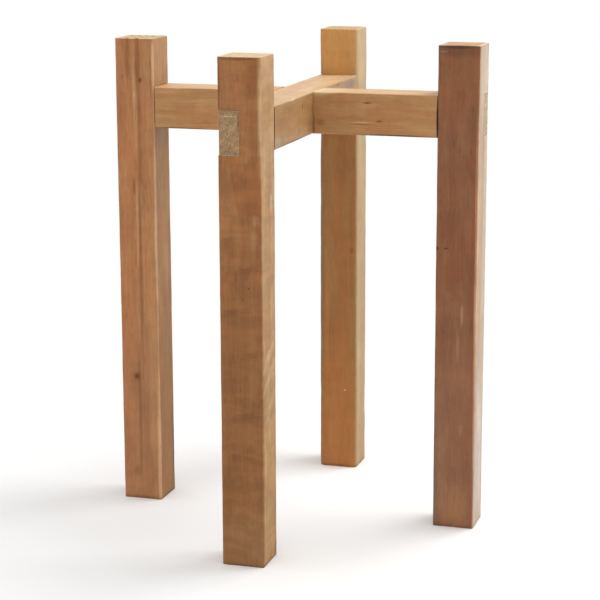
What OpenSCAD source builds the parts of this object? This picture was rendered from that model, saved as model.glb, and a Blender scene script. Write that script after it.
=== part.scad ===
// Plant stand: four squared timber legs on the ends of two crossing rails.
// The rails are halved over each other at the centre. Each rail end is a half-thickness tongue
// that lies in a notch in its leg and runs through to the leg's outer face.
// The origin is on the floor, midway between the four legs. The lower rail runs along X and
// the upper rail along Y. The pot stands on both rails, between the tops of the legs.

/* [Timber] */
// Width and depth of the squared timber of the legs and rails
timber_w = 42; // [30:1:60]
// Radius of the rounded arrises along the timber
arris_r = 1.6; // [0.5:0.1:4]
// Radius of the back leg's arrises, which are rounder
back_arris_r = 4; // [0.5:0.1:8]
// Width of the chamfer round the sawn ends of the legs
end_chamfer = 0.8; // [0.2:0.1:2]

/* [Stand] */
// Height of the rails' underside above the floor
rail_z = 399; // [150:5:700]
// Height of the legs above the rails
leg_rise = 49; // [10:1:150]
// Clear space between opposite legs, which holds the pot
pot_gap = 296; // [180:2:500]

/* [Joints] */
// Gap between the top of each tongue and its notch
tongue_gap = 0.3; // [0.1:0.05:0.8]
// Gap between each rail's shoulder and its leg
shoulder_gap = 0.4; // [0.1:0.05:1]
// Depth of each tongue's end below the leg's outer face
tongue_inset = 0.3; // [0.1:0.1:2]
// Depth of each tongue's side below the open side of its leg
tongue_setback = 1.2; // [0.2:0.1:3]
// Gap at each side of a rail in the other rail's notch
crossing_gap = 0.2; // [0.05:0.05:0.6]

/* [Screws] */
// Diameter of a screw's shank
screw_d = 4; // [3:0.5:5]
// Diameter of a screw's head
screw_head_d = 8; // [6:0.5:10]
// Length of a screw's point
screw_point = 4; // [2:0.5:6]
// Span of the cross-shaped drive recess in a screw's head
drive_span = 4.4; // [3:0.2:5.4]
// Width of each arm of the drive recess
drive_w = 1; // [0.6:0.1:1.4]
// Depth of the drive recess
drive_depth = 1.6; // [0.8:0.1:2]
// Depth of a screw's head below the face that it is driven through
head_sink = 0.5; // [0.1:0.1:1]
// Thickness of timber left beyond a screw's point
screw_cover = 5.3; // [3:0.1:12]
// Gap all round the shank of a screw in the piece that it holds on
shank_gap = 0.3; // [0.1:0.05:0.6]
// Distance between a leg's two screws, across the leg
screw_pitch_x = 18; // [12:1:20]
// Distance between a leg's two screws, up the leg
screw_pitch_z = 18; // [12:1:20]

/* [Hidden] */

half_w = timber_w / 2;
rail_top = rail_z + timber_w;
leg_h = rail_top + leg_rise;
// Distance of each leg's axis from the stand's axis
leg_r = pot_gap / 2 + half_w;
// Each lap takes half of the timber, so its faces meet in the middle of the rail
lap_z = rail_z + half_w;
shoulder_r = pot_gap / 2 - shoulder_gap;
tongue_end = leg_r + half_w - tongue_inset;
tongue_top = rail_top - tongue_gap;
tongue_side = half_w - tongue_setback;
screw_l = half_w + tongue_side - head_sink - screw_cover;
// How far a cutter stands past the face that it cuts
over = 1;
round_fn = 48;

// Squared section with corners of radius r, centred
module section(r = arris_r) {
    core_w = timber_w - 2 * r;
    square([timber_w, core_w], center = true);
    square([core_w, timber_w], center = true);
    for (x = [-1, 1], y = [-1, 1])
        translate([x * core_w / 2, y * core_w / 2]) circle(r = r, $fn = round_fn);
}

// Slab that takes in all of an upright bar of length l but the arrises of its ends that run
// along Y, which it leaves out at 45 degrees
module end_trim(l) {
    inner = half_w - end_chamfer;
    outer = half_w + over;
    rise = end_chamfer + over;
    rotate([90, 0, 0])
        linear_extrude(2 * outer, center = true)
            polygon([[-inner, 0], [inner, 0], [outer, rise], [outer, l - rise],
                     [inner, l], [-inner, l], [-outer, l - rise], [-outer, rise]]);
}

// Form of a screw that points down, with the face of its countersunk head at 0. For the hole
// that it sits in, gap widens its shank and open carries its head on upwards.
module screw_form(gap = 0, open = 0) {
    head_r = screw_head_d / 2;
    shank_r = screw_d / 2 + gap;
    rotate_extrude($fn = round_fn)
        polygon([[0, open], [head_r, open], [head_r, 0], [shank_r, shank_r - head_r],
                 [shank_r, screw_point - screw_l], [0, -screw_l]]);
}

module screw() {
    difference() {
        screw_form();
        for (turn = [0, 90])
            rotate([0, 0, turn])
                translate([0, 0, (over - drive_depth) / 2])
                    cube([drive_span, drive_w, drive_depth + over], center = true);
    }
}

module clearance_hole() {
    screw_form(gap = shank_gap, open = head_sink + over);
}

// Repeats a child at both ends of a rail along X
module at_rail_ends() {
    for (end = [-1, 1])
        translate([end * leg_r, 0, 0]) children();
}

// Repeats a child at a leg's two screws, which are driven from the leg's +Y side
module at_leg_screws() {
    for (side = [-1, 1])
        translate([side * screw_pitch_x / 2, tongue_side - head_sink,
                   lap_z + side * screw_pitch_z / 2])
            rotate([-90, 0, 0]) children();
}

// Places a child at the crossing's screw, which is driven from below
module at_crossing_screw() {
    translate([0, 0, rail_z + head_sink])
        rotate([180, 0, 0]) children();
}

// Leg on the Z axis, with arrises of radius r. Its notch runs through it along X and is open to
// its +Y face.
module leg(r = arris_r) {
    difference() {
        intersection() {
            linear_extrude(leg_h) section(r);
            end_trim(leg_h);
            rotate([0, 0, 90]) end_trim(leg_h);
        }
        translate([-half_w - over, 0, rail_z])
            cube([timber_w + 2 * over, half_w + over, timber_w]);
        at_leg_screws() screw_form();
    }
}

// What is cut from the +X end of a rail: its front half, up to the shoulder, and a shaving off
// the side and the top of the tongue that is left
module tongue_cut() {
    cut_l = tongue_end - shoulder_r + over;
    translate([shoulder_r, -half_w - over, rail_z - over])
        cube([cut_l, half_w + over, timber_w + 2 * over]);
    translate([shoulder_r, tongue_side, rail_z - over])
        cube([cut_l, tongue_setback + over, timber_w + 2 * over]);
    translate([shoulder_r, -over, tongue_top])
        cube([cut_l, half_w + 2 * over, tongue_gap + over]);
}

// Rail along X with a tongue at each end, on its +Y side
module rail() {
    difference() {
        translate([0, 0, lap_z])
            rotate([0, 90, 0])
                linear_extrude(2 * tongue_end, center = true) section();
        tongue_cut();
        mirror([1, 0, 0]) tongue_cut();
        at_rail_ends() at_leg_screws() clearance_hole();
    }
}

// Space that the other rail takes up at the crossing, from height z up
module crossing_cut(z) {
    cut_w = timber_w + 2 * crossing_gap;
    translate([-cut_w / 2, -half_w - over, z])
        cube([cut_w, timber_w + 2 * over, half_w + over]);
}

module leg_left() {
    color([0.66, 0.47, 0.32]) translate([-leg_r, 0, 0]) leg();
}

module leg_right() {
    color([0.54, 0.36, 0.26]) translate([leg_r, 0, 0]) leg();
}

module leg_front() {
    color([0.58, 0.41, 0.27]) rotate([0, 0, 90]) translate([-leg_r, 0, 0]) leg();
}

module leg_back() {
    color([0.70, 0.50, 0.29]) rotate([0, 0, 90]) translate([leg_r, 0, 0]) leg(back_arris_r);
}

module lower_rail() {
    color([0.67, 0.48, 0.31])
        difference() {
            rail();
            crossing_cut(lap_z);
            at_crossing_screw() clearance_hole();
        }
}

module upper_rail() {
    color([0.74, 0.54, 0.38])
        difference() {
            rotate([0, 0, 90]) rail();
            rotate([0, 0, 90]) crossing_cut(rail_z - over);
            at_crossing_screw() screw_form();
        }
}

module leg_screws() {
    color([0.72, 0.70, 0.64])
        for (turn = [0, 90])
            rotate([0, 0, turn])
                at_rail_ends() at_leg_screws() screw();
}

module crossing_screw() {
    color([0.72, 0.70, 0.64]) at_crossing_screw() screw();
}

leg_left();
leg_right();
leg_front();
leg_back();
lower_rail();
upper_rail();
leg_screws();
crossing_screw();
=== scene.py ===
"""A plant stand of squared hardwood, with its timber, joints, screws and finishes.

Four legs stand on the ends of two crossing rails. Each rail end is a tongue that lies in a notch
in its leg. Every piece is cut as it would be on the bench: a squared blank first, then its joints.
"""
import logging
import math
from dataclasses import dataclass, fields
from enum import Enum
from functools import reduce

import bmesh
import bpy
from mathutils import Matrix, Vector


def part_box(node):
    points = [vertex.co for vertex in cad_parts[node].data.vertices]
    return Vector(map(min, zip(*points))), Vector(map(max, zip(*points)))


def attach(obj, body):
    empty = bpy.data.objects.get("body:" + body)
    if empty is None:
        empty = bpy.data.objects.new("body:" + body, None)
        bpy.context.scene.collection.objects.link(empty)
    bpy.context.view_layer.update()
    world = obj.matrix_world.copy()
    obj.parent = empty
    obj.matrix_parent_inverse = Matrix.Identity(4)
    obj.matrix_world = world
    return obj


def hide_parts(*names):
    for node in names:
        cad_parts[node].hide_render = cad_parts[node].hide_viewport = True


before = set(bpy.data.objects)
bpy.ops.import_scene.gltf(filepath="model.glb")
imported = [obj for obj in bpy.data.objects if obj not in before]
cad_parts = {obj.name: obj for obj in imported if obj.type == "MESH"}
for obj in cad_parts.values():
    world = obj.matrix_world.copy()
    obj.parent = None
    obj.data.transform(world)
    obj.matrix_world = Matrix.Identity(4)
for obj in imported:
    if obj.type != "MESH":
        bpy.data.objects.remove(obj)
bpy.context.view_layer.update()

Point = tuple[float, float, float]
Colour = tuple[float, float, float, float]
Socket = bpy.types.NodeSocket
Feed = Socket | float | int | tuple | Vector

MM = 0.001
HALF_TURN = math.pi
QUARTER_TURN = math.pi / 2
BODY = "root"
WHITE: Colour = (1.0, 1.0, 1.0, 1.0)
EVEN: Point = (1.0, 1.0, 1.0)
ACROSS: Point = (1.0, 1.0, 0.0)
log = logging.getLogger("plant_stand")


def paint(red: int, green: int, blue: int) -> Colour:
    """Turns a colour as a paint chart gives it, 0 to 255, into a shader's linear colour.

    Args:
        red: The red part.
        green: The green part.
        blue: The blue part.

    Returns:
        The linear colour, with full opacity.
    """
    def linear(part: int) -> float:
        """Undoes the display's curve for one part."""
        share = part / 255
        return share / 12.92 if share <= 0.04045 else ((share + 0.055) / 1.055) ** 2.4

    return (linear(red), linear(green), linear(blue), 1.0)


def set_out(name: str, data: bpy.types.ID) -> bpy.types.Object:
    """Puts a mesh, a lamp or a camera in the scene.

    Args:
        name: The object's name.
        data: What it shows.

    Returns:
        The object, at the origin.
    """
    item = bpy.data.objects.new(name, data)
    bpy.context.scene.collection.objects.link(item)
    return item


def settled(work: bpy.types.Object) -> bpy.types.Mesh:
    """Turns a work piece and its modifiers into a plain mesh, and clears the work piece away.

    Args:
        work: The work piece.

    Returns:
        The plain mesh.
    """
    seen = work.evaluated_get(bpy.context.evaluated_depsgraph_get())
    made = bpy.data.meshes.new_from_object(seen)
    work.modifiers.clear()
    bpy.data.objects.remove(work)
    return made


def stored(shape: bmesh.types.BMesh, name: str) -> bpy.types.Mesh:
    """Turns a shape's faces outwards and stores it as a mesh.

    Args:
        shape: The shape, which is freed.
        name: The mesh's name.

    Returns:
        The mesh.
    """
    bmesh.ops.recalc_face_normals(shape, faces=shape.faces)
    mesh = bpy.data.meshes.new(name)
    shape.to_mesh(mesh)
    shape.free()
    return mesh


def lathe(rings: list[tuple[list[float], float]]) -> bmesh.types.BMesh:
    """Lays a skin over rings about the Z axis.

    Args:
        rings: From the top down, each ring's radii at even turns, and its height. A ring that has
            shrunk to a point on the axis has the one radius 0.

    Returns:
        The shape, which is open where its first or last ring is not a point.
    """
    shape = bmesh.new()
    sides = max(len(radii) for radii, _ in rings)
    made = []
    for radii, height in rings:
        turns = [math.tau * step / sides for step in range(len(radii))]
        made.append([shape.verts.new((radius * math.cos(turn), radius * math.sin(turn), height))
                     for radius, turn in zip(radii, turns)])
    for upper, lower in zip(made, made[1:]):
        for step in range(sides):
            after = (step + 1) % sides
            corners = [upper[step % len(upper)], lower[step % len(lower)],
                       lower[after % len(lower)], upper[after % len(upper)]]
            shape.faces.new(list(dict.fromkeys(corners)))
    return shape


# ---------------------------------------------------------------------------------------------
# Node trees
# ---------------------------------------------------------------------------------------------

@dataclass(frozen=True)
class Pattern:
    """A noise: how closely it changes along each axis, its finer octaves and its number.

    Shows gives the value at which the pattern begins to show and the one at which it is full.
    """

    pitch: Point = EVEN
    scale: float = 1.0
    detail: float = 3.0
    roughness: float = 0.5
    seed: float = 0.0
    shows: tuple[float, float] = (0.0, 1.0)


class NodeDesk:
    """Adds nodes to one tree and wires them, for shaders and Geometry Nodes alike."""

    def __init__(self, tree: bpy.types.NodeTree) -> None:
        """Takes the tree to work on."""
        self.tree = tree

    @classmethod
    def cleared(cls, owner: bpy.types.Material | bpy.types.World) -> "NodeDesk":
        """Sets up a desk on a material's or a world's own tree, with nothing on it.

        Args:
            owner: The material or the world.

        Returns:
            The desk.
        """
        owner.use_nodes = True
        owner.node_tree.nodes.clear()
        return cls(owner.node_tree)

    def add(self, kind: str, feeds: dict[str | int, Feed] | None = None,
            **settings: object) -> bpy.types.Node:
        """Adds one node.

        Args:
            kind: The node's type name.
            feeds: What goes into its inputs, by name or number: a socket or a constant.
            settings: The node's own properties.

        Returns:
            The new node.
        """
        node = self.tree.nodes.new(kind)
        for name, value in settings.items():
            setattr(node, name, value)
        for key, value in (feeds or {}).items():
            self.feed(node.inputs[key], value)
        return node

    def feed(self, socket: Socket, value: Feed) -> None:
        """Links a socket to an input, or sets the input to a constant.

        Args:
            socket: The input.
            value: The socket or the constant that goes into it.
        """
        if isinstance(value, bpy.types.NodeSocket):
            self.tree.links.new(value, socket)
        else:
            socket.default_value = value

    def show(self, kind: str, surface: bpy.types.Node) -> None:
        """Ends the tree in an output node of a kind, which shows a surface."""
        self.add(kind, {"Surface": surface.outputs[0]})

    def math(self, operation: str, *values: Feed, clamp: bool = False) -> Socket:
        """Adds a Math node and returns its result."""
        node = self.add("ShaderNodeMath", dict(enumerate(values)), operation=operation, use_clamp=clamp)
        return node.outputs[0]

    def plus(self, *values: Feed) -> Socket:
        """Adds values up."""
        return reduce(lambda total, value: self.math("ADD", total, value), values)

    def minus(self, first: Feed, second: Feed) -> Socket:
        """Takes the second value from the first."""
        return self.math("SUBTRACT", first, second)

    def times(self, *values: Feed) -> Socket:
        """Multiplies values."""
        return reduce(lambda total, value: self.math("MULTIPLY", total, value), values)

    def over(self, first: Feed, second: Feed) -> Socket:
        """Divides the first value by the second."""
        return self.math("DIVIDE", first, second)

    def rest_of(self, share: Feed) -> Socket:
        """What a share leaves of a whole."""
        return self.minus(1.0, share)

    def swing(self, value: Feed, reach: Feed) -> Socket:
        """Turns a noise from 0 to 1 into a swing to both sides of 0, of half of the reach."""
        return self.times(self.minus(value, 0.5), reach)

    def vector(self, operation: str, *values: Feed) -> Socket:
        """Adds a Vector Math node and returns its vector."""
        node = self.add("ShaderNodeVectorMath", dict(enumerate(values)), operation=operation)
        return node.outputs["Vector"]

    def scaled(self, vector: Feed, factor: Feed) -> Socket:
        """Scales a vector by a number."""
        return self.add("ShaderNodeVectorMath", {0: vector, "Scale": factor}, operation="SCALE").outputs[0]

    def length(self, vector: Feed) -> Socket:
        """Measures a vector's length."""
        return self.add("ShaderNodeVectorMath", {0: vector}, operation="LENGTH").outputs["Value"]

    def split(self, vector: Feed) -> tuple[Socket, ...]:
        """Splits a vector into x, y and z."""
        return tuple(self.add("ShaderNodeSeparateXYZ", {0: vector}).outputs)

    def join(self, x: Feed = 0.0, y: Feed = 0.0, z: Feed = 0.0) -> Socket:
        """Joins x, y and z into a vector."""
        return self.add("ShaderNodeCombineXYZ", {0: x, 1: y, 2: z}).outputs[0]

    def noise(self, place: Feed, pattern: Pattern, seed: Feed = 0.0, colour: bool = False) -> Socket:
        """Adds a seeded noise.

        Args:
            place: Where the noise is read.
            pattern: The kind of noise.
            seed: The stick's own number, which the pattern's number is added to.
            colour: True for three noises as a colour, False for one as a number.

        Returns:
            The noise's socket, from 0 to 1.
        """
        if pattern.pitch != EVEN:
            place = self.vector("MULTIPLY", place, pattern.pitch)
        number = self.plus(seed, pattern.seed) if pattern.seed else seed
        node = self.add("ShaderNodeTexNoise", {
            "Vector": place, "Scale": pattern.scale, "W": number, "Detail": pattern.detail,
            "Roughness": pattern.roughness,
        }, noise_dimensions="4D")
        return node.outputs["Color" if colour else 0]

    def sway(self, place: Feed, pattern: Pattern, seed: Feed = 0.0) -> Socket:
        """Adds three seeded noises as one vector.

        Args:
            place: Where the noises are read.
            pattern: The kind of noise.
            seed: The stick's own number.

        Returns:
            The vector, with each part from -0.5 to 0.5.
        """
        colour = self.noise(place, pattern, seed, colour=True)
        parts = self.add("ShaderNodeSeparateColor", {0: colour}).outputs
        return self.vector("SUBTRACT", self.join(*parts), (0.5, 0.5, 0.5))

    def step(self, value: Feed, low: Feed, high: Feed, to_low: Feed = 0.0, to_high: Feed = 1.0) -> Socket:
        """Passes smoothly from one value to another.

        Args:
            value: What drives the change.
            low: The drive at which the change begins.
            high: The drive at which it ends.
            to_low: The result before the change.
            to_high: The result after the change.

        Returns:
            The result.
        """
        node = self.add("ShaderNodeMapRange", {
            "Value": value, "From Min": low, "From Max": high, "To Min": to_low, "To Max": to_high,
        }, interpolation_type="SMOOTHSTEP")
        return node.outputs[0]

    def blend(self, share: Feed, first: Feed, second: Feed, kind: str = "MIX") -> Socket:
        """Blends two colours.

        Args:
            share: How much of the second colour there is, from 0 to 1.
            first: The first colour.
            second: The second colour.
            kind: The kind of blend.

        Returns:
            The blended colour.
        """
        node = self.add("ShaderNodeMix", {"Factor": share}, data_type="RGBA", blend_type=kind)
        for socket, value in zip([s for s in node.inputs if s.type == "RGBA"], (first, second)):
            self.feed(socket, value)
        return next(s for s in node.outputs if s.type == "RGBA")

    def tinted(self, colour: Feed, tint: Feed) -> Socket:
        """Multiplies a colour by a tint."""
        return self.blend(1.0, colour, tint, "MULTIPLY")

    def lit(self, colour: Feed, light: Socket) -> Socket:
        """Makes a colour lighter or darker by a number."""
        return self.tinted(colour, self.join(light, light, light))

    def hand_over(self, sink: bpy.types.Node, shape: Socket, finish: Socket) -> None:
        """Ends a Geometry Nodes tree: makes its instances real and gives them their material.

        Args:
            sink: The tree's output node.
            shape: The shape that the tree made.
            finish: The material.
        """
        real = self.add("GeometryNodeRealizeInstances", {"Geometry": shape})
        dressed = self.add("GeometryNodeSetMaterial", {"Geometry": real.outputs[0], "Material": finish})
        self.feed(sink.inputs[0], dressed.outputs[0])


def declare(tree: bpy.types.NodeTree, inputs: dict[str, str],
            outputs: dict[str, str]) -> tuple[bpy.types.Node, bpy.types.Node]:
    """Gives a node group its named inputs and outputs.

    Args:
        tree: The group's tree.
        inputs: For each kind of input, the names of the inputs of that kind, set apart by commas.
        outputs: The same for the outputs.

    Returns:
        The group's input node and its output node.
    """
    for way, sockets in (("INPUT", inputs), ("OUTPUT", outputs)):
        for kind, names in sockets.items():
            for name in names.split(", "):
                tree.interface.new_socket(name, in_out=way, socket_type="NodeSocket" + kind)
    return tree.nodes.new("NodeGroupInput"), tree.nodes.new("NodeGroupOutput")


def run_tree(name: str, start: bpy.types.Mesh, tree: bpy.types.NodeTree,
             values: dict[str, object]) -> bpy.types.Mesh:
    """Runs a Geometry Nodes tree on a mesh and returns the plain mesh that it makes.

    Args:
        name: A name for the work piece.
        start: The mesh that the tree starts from.
        tree: The tree.
        values: The tree's inputs, by their names.

    Returns:
        The resulting mesh.
    """
    work = set_out(name + "_work", start)
    modifier = work.modifiers.new("nodes", "NODES")
    modifier.node_group = tree
    for item in tree.interface.items_tree:
        if item.in_out == "INPUT" and item.name in values:
            modifier[item.identifier] = values[item.name]
    return settled(work)


# ---------------------------------------------------------------------------------------------
# Sizes
# ---------------------------------------------------------------------------------------------

@dataclass(frozen=True)
class StandSizes:
    """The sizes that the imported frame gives, in metres."""

    timber: float
    leg_height: float
    leg_reach: float
    rail_low: float
    rail_high: float
    tongue_end: float

    @classmethod
    def measured(cls) -> "StandSizes":
        """Reads the sizes from the frame's boxes.

        Returns:
            The stand's sizes.
        """
        leg_low, leg_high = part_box("leg_right")
        rail_low, rail_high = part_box("lower_rail")
        return cls(timber=leg_high.x - leg_low.x, leg_height=leg_high.z,
                   leg_reach=(leg_low.x + leg_high.x) / 2, rail_low=rail_low.z,
                   rail_high=rail_high.z, tongue_end=rail_high.x)

    @property
    def half(self) -> float:
        """Half of the timber's width."""
        return self.timber / 2

    @property
    def lap_height(self) -> float:
        """The height at which the crossing rails meet in their laps."""
        return (self.rail_low + self.rail_high) / 2


@dataclass(frozen=True)
class LapFit:
    """Clearances of the lap joints, in metres, and how far a cutter stands past a face."""

    shoulder_gap: float = 0.4 * MM
    tongue_gap: float = 0.3 * MM
    tongue_setback: float = 1.2 * MM
    crossing_gap: float = 0.2 * MM
    over: float = 1.0 * MM


@dataclass(frozen=True)
class ScrewSizes:
    """A countersunk wood screw, and where it sits in its lap, in metres."""

    length: float = 35 * MM
    head_radius: float = 4 * MM
    head_edge: float = 0.25 * MM
    head_ease: float = 0.06 * MM
    shank_radius: float = 2 * MM
    core_radius: float = 1.35 * MM
    crest_radius: float = 1.98 * MM
    point: float = 4 * MM
    thread_start: float = 13 * MM
    thread_pitch: float = 1.8 * MM
    drive_span: float = 4.4 * MM
    drive_width: float = 1.0 * MM
    drive_depth: float = 1.6 * MM
    head_sink: float = 0.5 * MM
    shank_gap: float = 0.3 * MM
    spread: float = 9 * MM


# ---------------------------------------------------------------------------------------------
# Finishes
# ---------------------------------------------------------------------------------------------

class Grain(Enum):
    """The direction that a piece's grain runs in, with the turn that brings it upright."""

    UP = (0.0, 0.0, 0.0)
    ALONG_X = (0.0, QUARTER_TURN, 0.0)
    ALONG_Y = (QUARTER_TURN, 0.0, 0.0)


@dataclass(frozen=True)
class Mark:
    """A knot, streak, stain or worn patch, or painted shade or highlight: an uneven blot of colour at
    a place on a piece.

    Its place and reach are in millimetres along the stand's axes. The place is measured from the
    middle of a leg's foot, or from the stand's origin for a rail. Climb tilts it along the grain.
    """

    place: Point
    reach: Point
    tone: Colour
    strength: float
    ragged: float
    climb: float = 0.0


@dataclass(frozen=True)
class TimberFinish:
    """One stick of oiled hardwood: its colours, its growth rings and its marks.

    Flank: the colour of the side that looks along X, partly the wood's own tone and partly painted
    light, paler or darker as light falls on that side and whiter where it catches sheen. End is the
    colour of the sawn ends. Pith is the middle of its rings, in metres from the stick's own middle.
    The timber's shader group has an input for each look here, of the same name.
    """

    slot: str
    heart: Colour
    late: Colour
    warm: Colour
    end: Colour
    # Partly painted light: the tone of the side that looks along X
    flank: Colour
    pith: tuple[float, float]
    seed: float
    ring_spacing: float = 7.5 * MM
    ring_contrast: float = 0.25
    warm_share: float = 0.75
    streak: float = 0.3
    figure: float = 0.012
    mottle: float = 0.18
    fibre: float = 0.16
    speckle: float = 0.35
    # rim is the strength of a painted highlight round the edges of the upper ends; wear makes the arrises
    # paler, partly as painted highlight, and smoother
    rim: float = 0.75
    wear: float = 0.4
    roughness: float = 0.5
    marks: tuple[Mark, ...] = ()


@dataclass(frozen=True)
class ScrewFinish:
    """Zinc-plated steel with a faint yellow passivation."""

    slot: str = "screws"
    steel: Colour = paint(196, 192, 182)
    tarnish: Colour = paint(150, 138, 112)
    cloud: Pattern = Pattern(scale=420.0, detail=4.0, roughness=0.6, shows=(0.45, 0.75))
    brushing: Pattern = Pattern((5200.0, 5200.0, 900.0), detail=2.0)
    roughness: float = 0.22
    cloud_roughness: float = 0.22
    brushed_roughness: float = 0.10
    relief: float = 0.25
    relief_depth: float = 0.05 * MM


KNOT = paint(84, 47, 30)
DARK_STREAK = paint(112, 68, 42)
RED = paint(148, 84, 52)
PALE = paint(218, 182, 138)
GREY = paint(140, 122, 104)
# Painted shade: dark lines in the gaps of the joints and along the rails' lower edges, where shade falls
SEAM_SHADE = paint(82, 46, 28)
UNDER_EDGE_SHADE = paint(70, 54, 34)

LEFT_LEG = TimberFinish(
    slot="timber_left_leg", heart=paint(176, 125, 80), late=paint(150, 98, 57),
    warm=paint(167, 107, 64), end=paint(194, 168, 126), flank=paint(170, 127, 80),
    pith=(0.055, 0.035), seed=1.0,
    marks=(
        # The browner foot, then the side that looks along X: paler at its top, browner at its foot
        Mark((0, -21, 60), (40, 6, 160), paint(156, 106, 73), 0.6, 0.1),
        Mark((21, 0, 475), (4, 40, 60), paint(180, 136, 94), 0.6, 0.2),
        Mark((21, 0, 60), (4, 40, 150), paint(146, 97, 40), 0.7, 0.2),
        # Long bands, and the dark streaks with their paler edges at the top of the front
        Mark((-13, -21, 200), (9, 5, 240), paint(174, 110, 68), 0.45, 0.1),
        Mark((15, -21, 210), (6, 5, 230), paint(190, 142, 96), 0.35, 0.1),
        Mark((-7.8, -21, 474), (3.4, 4, 34), paint(132, 78, 38), 0.6, 0.25),
        Mark((3, -21, 471), (3.2, 4, 40), paint(128, 78, 38), 0.75, 0.2),
        Mark((12, -21, 462), (4.5, 4, 34), paint(174, 130, 84), 0.6, 0.2),
        Mark((17.5, -21, 455), (1.6, 4, 32), RED, 0.5, 0.3),
        Mark((-1.5, -21, 440), (1.6, 4, 34), PALE, 0.25, 0.4),
        Mark((4, -21, 400), (2.6, 4, 70), paint(130, 76, 42), 0.55, 0.15),
        # The upper knot and a chip beside it
        Mark((6, -21, 447.7), (2.5, 4, 3), paint(98, 50, 8), 0.8, 0.35),
        Mark((-0.9, -21, 432.5), (1, 4, 2.2), PALE, 0.6, 0.5),
        Mark((-16, -21, 455), (6, 4, 45), paint(168, 106, 66), 0.55, 0.3),
        # The lower knot in its red halo
        Mark((-4.2, -21, 134.5), (7.5, 4, 6.5), paint(140, 84, 48), 0.45, 0.35),
        Mark((-4.2, -21, 134.8), (3.4, 4, 3.6), paint(98, 52, 10), 0.85, 0.35),
        # Streaks further down
        Mark((-5.4, -21, 31), (5, 4, 7), DARK_STREAK, 0.4, 0.4),
        Mark((2.8, -21, 255), (2.4, 6, 110), paint(130, 78, 44), 0.6, 0.15),
        Mark((-1, -21, 90), (2.2, 6, 80), paint(124, 72, 34), 0.45, 0.15),
        Mark((-3.1, -21, 338), (1.5, 4, 10), paint(128, 60, 32), 0.7, 0.3),
        Mark((0, -21, 300), (1.4, 4, 50), PALE, 0.25, 0.3),
        # The arris between the two sides, rubbed paler and carrying a painted highlight
        Mark((20.3, -20.5, 50), (2.8, 2.2, 140), paint(214, 168, 124), 0.85, 0.3),
        Mark((20.5, -20.5, 300), (1.8, 1.8, 140), PALE, 0.75, 0.4),
        Mark((20.3, -20.7, 462), (2.4, 1.8, 32), paint(222, 178, 138), 0.75, 0.35),
        # A grey painted shadow under the rail, red and grey stains near the foot, and a darker band along the
        # foot's bottom edge
        Mark((21, 0, 386), (4, 20, 12), GREY, 0.45, 0.3),
        Mark((21, 14, 73), (3, 2.2, 28), paint(138, 82, 58), 0.5, 0.3),
        Mark((21, 21, 50), (4, 7, 55), paint(92, 78, 74), 0.8, 0.3),
        Mark((0, 0, -1), (50, 50, 5.5), paint(90, 58, 38), 0.65, 0.3),
    ))

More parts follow.
